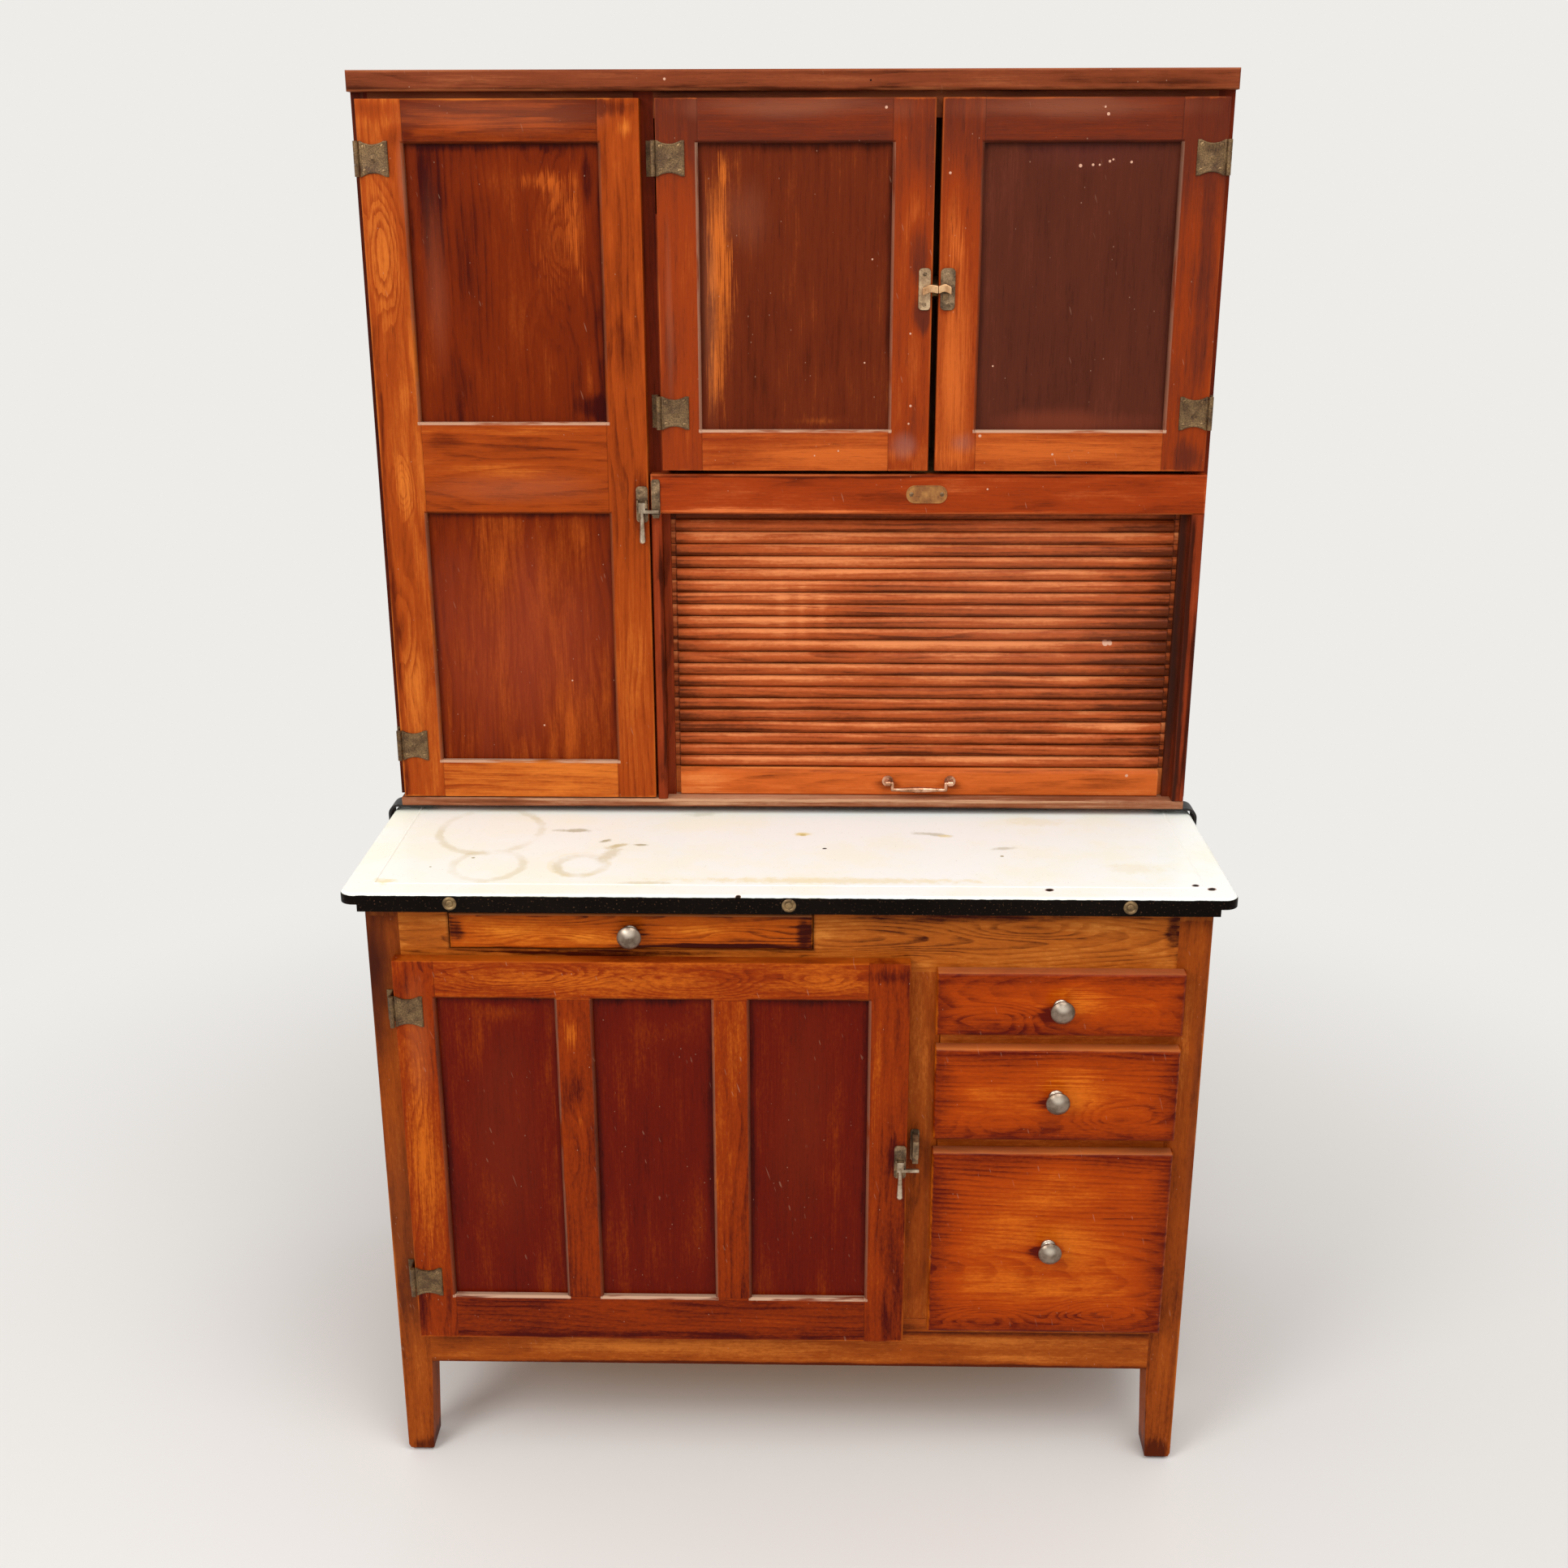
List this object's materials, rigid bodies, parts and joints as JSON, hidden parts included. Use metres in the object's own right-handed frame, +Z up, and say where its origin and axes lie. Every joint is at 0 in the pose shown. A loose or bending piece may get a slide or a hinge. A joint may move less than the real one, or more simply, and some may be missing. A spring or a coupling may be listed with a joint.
{
  "type": "two-part kitchen cabinet",
  "caption": "Two-part wooden kitchen cabinet: base with panelled door, drawers, bread board and sliding enamelled worktop under a hutch with panelled doors and a roll-up slatted curtain.",
  "frame": {"origin": "on the floor under the middle of the footprint, measured over the hutch brackets and from the knobs to the back boards", "axes": "+X to the right as seen from the front, +Y to the back, +Z up; doors and drawers face -Y"},
  "size_m": [1.095, 0.6116, 1.765],
  "materials": {
    "leg_wood": "worn orange-brown varnish over straight-grained hardwood",
    "rail_wood": "red-brown varnish, lengthwise grain",
    "case_wood": "dark red-brown varnish",
    "inner_wood": "pale unvarnished softwood",
    "enamel": "off-white vitreous enamel with a black edge, glossy, faintly stained",
    "dark_wood": "dark stained softwood",
    "drawer_wood": "worn orange-red varnish, lengthwise grain",
    "door_wood": "worn orange-red varnish over strong grain",
    "panel_wood": "dark red-brown varnish over arched grain",
    "knob_metal": "brushed nickel, dulled",
    "hinge_metal": "dull olive brass with a fine stipple",
    "latch_metal": "grey worn brass plating",
    "strap_metal": "black paint",
    "curtain_wood": "satin orange-brown varnish, lengthwise grain",
    "canvas": "plain woven cloth"
  },
  "bodies": {
    "cabinet": {"leg_pair_front": "leg_wood", "leg_pair_rear": "leg_wood", "base_top_rail": "rail_wood", "base_bottom_rail": "leg_wood", "base_face_stile": "leg_wood", "base_side_left": "case_wood", "base_side_right": "case_wood", "base_back": "inner_wood", "base_floor": "inner_wood", "base_partition": "inner_wood", "base_shelf": "inner_wood", "drawer_runners": "inner_wood", "top_runners": "inner_wood", "bread_guides": "inner_wood", "hutch_side_left": "case_wood", "hutch_side_right": "case_wood", "hutch_top": "case_wood", "hutch_bottom": "case_wood", "hutch_partition": "case_wood", "hutch_rail": "case_wood", "hutch_shelves": "inner_wood", "hutch_back": "inner_wood", "hutch_brackets": "strap_metal", "curtain_guides": "door_wood", "frame_hinge_leaves": "hinge_metal", "latch_keepers": "latch_metal"},
    "tall_door": {"tall_door_frame": "door_wood", "tall_door_panels": "panel_wood", "tall_door_hinges": "hinge_metal", "tall_door_latch": "latch_metal"},
    "tall_latch_lever": {"tall_door_lever": "latch_metal"},
    "middle_door": {"middle_door_frame": "door_wood", "middle_door_panel": "panel_wood", "middle_door_hinges": "hinge_metal"},
    "right_door": {"right_door_frame": "door_wood", "right_door_panel": "panel_wood", "right_door_hinges": "hinge_metal"},
    "lower_door": {"lower_door_frame": "door_wood", "lower_door_panels": "panel_wood", "lower_door_hinges": "hinge_metal", "lower_door_latch": "latch_metal"},
    "lower_latch_lever": {"lower_door_lever": "latch_metal"},
    "curtain": {"curtain_slats": "curtain_wood", "curtain_canvas": "canvas", "curtain_bar": "curtain_wood", "handle_rosettes": "latch_metal"},
    "curtain_handle": {"handle_bail": "latch_metal"},
    "worktop": {"worktop_sheet": "enamel", "worktop_board": "dark_wood"},
    "bread_board": {"breadboard": "rail_wood", "breadboard_knob": "knob_metal"},
    "drawer_top": {"drawer_1_front": "drawer_wood", "drawer_1_box": "inner_wood", "drawer_1_knob": "knob_metal"},
    "drawer_middle": {"drawer_2_front": "drawer_wood", "drawer_2_box": "inner_wood", "drawer_2_knob": "knob_metal"},
    "drawer_bottom": {"drawer_3_front": "drawer_wood", "drawer_3_box": "inner_wood", "drawer_3_knob": "knob_metal"}
  },
  "joints": [
    {"name": "tall_door_hinge", "type": "hinge", "parent": "cabinet", "child": "tall_door", "pos_m": [-0.524, 0.0028, 1.3], "axis": [0, 0, -1], "range_deg": [0, 110]},
    {"name": "tall_latch_pivot", "type": "hinge", "parent": "tall_door", "child": "tall_latch_lever", "pos_m": [-0.19, -0.0002, 1.248], "axis": [-1, 0, 0], "range_deg": [0, 25]},
    {"name": "middle_door_hinge", "type": "hinge", "parent": "cabinet", "child": "middle_door", "pos_m": [-0.166, 0.0028, 1.512], "axis": [0, 0, -1], "range_deg": [0, 100]},
    {"name": "right_door_hinge", "type": "hinge", "parent": "cabinet", "child": "right_door", "pos_m": [0.524, 0.0028, 1.512], "axis": [0, 0, 1], "range_deg": [0, 110]},
    {"name": "lower_door_hinge", "type": "hinge", "parent": "cabinet", "child": "lower_door", "pos_m": [-0.487, -0.2828, 0.47], "axis": [0, 0, -1], "range_deg": [0, 110]},
    {"name": "lower_latch_pivot", "type": "hinge", "parent": "lower_door", "child": "lower_latch_lever", "pos_m": [0.1425, -0.2858, 0.465], "axis": [-1, 0, 0], "range_deg": [0, 25]},
    {"name": "curtain_lift", "type": "slide", "parent": "cabinet", "child": "curtain", "axis": [0, 0, 1], "range_m": [0, 0.345]},
    {"name": "curtain_handle_pivot", "type": "hinge", "parent": "curtain", "child": "curtain_handle", "pos_m": [0.1725, 0.0114, 0.8713], "axis": [-1, 0, 0], "range_deg": [-25, 80]},
    {"name": "worktop_slide", "type": "slide", "parent": "cabinet", "child": "worktop", "axis": [0, -1, 0], "range_m": [0, 0.22]},
    {"name": "bread_board_slide", "type": "slide", "parent": "cabinet", "child": "bread_board", "axis": [0, -1, 0], "range_m": [0, 0.4]},
    {"name": "drawer_top_slide", "type": "slide", "parent": "cabinet", "child": "drawer_top", "axis": [0, -1, 0], "range_m": [0, 0.4]},
    {"name": "drawer_middle_slide", "type": "slide", "parent": "cabinet", "child": "drawer_middle", "axis": [0, -1, 0], "range_m": [0, 0.4]},
    {"name": "drawer_bottom_slide", "type": "slide", "parent": "cabinet", "child": "drawer_bottom", "axis": [0, -1, 0], "range_m": [0, 0.4]}
  ]
}
